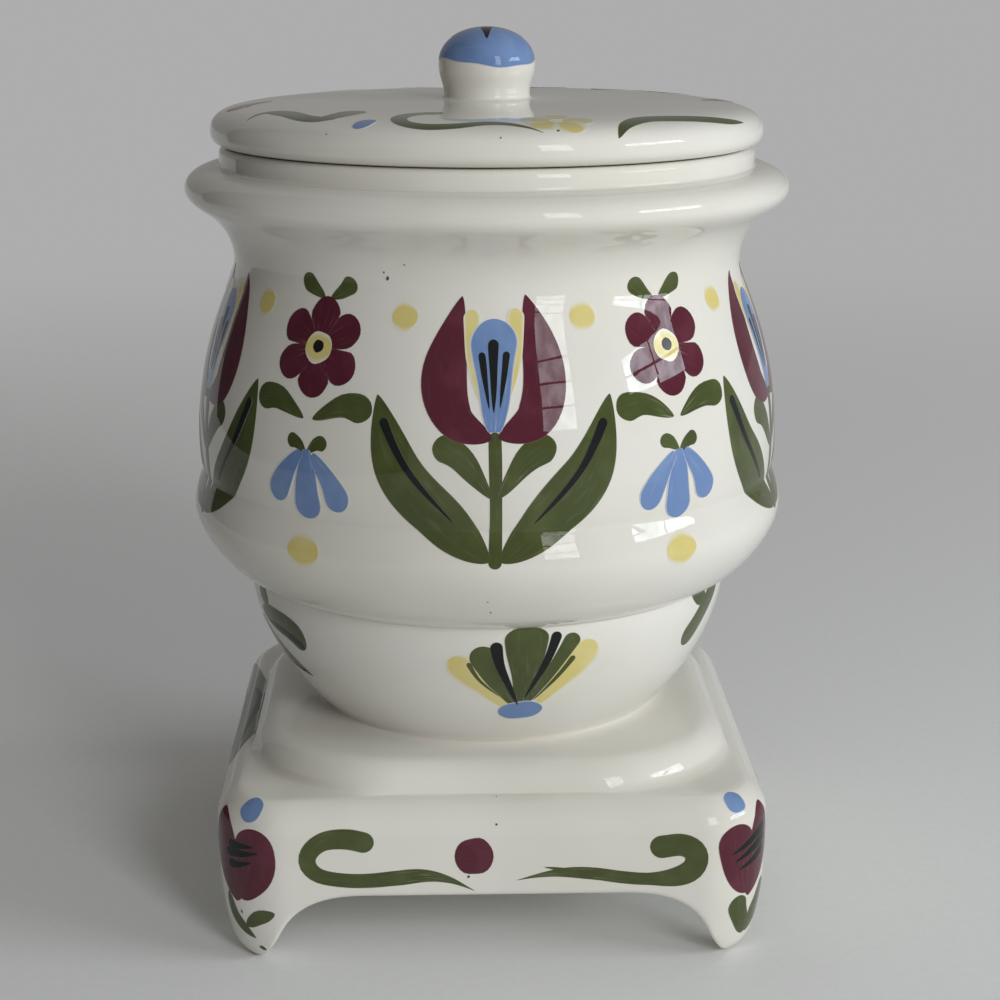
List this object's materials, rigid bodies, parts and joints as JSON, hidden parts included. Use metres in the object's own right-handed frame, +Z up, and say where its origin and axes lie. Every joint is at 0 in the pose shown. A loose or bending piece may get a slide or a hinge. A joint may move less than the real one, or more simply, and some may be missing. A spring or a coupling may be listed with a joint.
{
  "type": "biscuit jar",
  "caption": "Lidded biscuit jar in the shape of a potbelly stove: a round belly with a band and a flared collar on a square footed base, closed by a loose lid with a round knob",
  "frame": {"origin": "Under the middle of the jar, on the plane that its feet stand on", "axes": "+Z up through the knob, the painted front faces -Y, +X to the right when seen from the front"},
  "size_m": [0.2, 0.2, 0.2925],
  "materials": {
    "jar_glaze": "gloss",
    "lid_glaze": "gloss"
  },
  "bodies": {
    "jar": {"jar_body": "jar_glaze"},
    "lid": {"lid": "lid_glaze"}
  },
  "joints": [
    {"name": "lid_lift", "type": "slide", "parent": "jar", "child": "lid", "axis": [0, 0, 1], "range_m": [0, 0.12]}
  ]
}
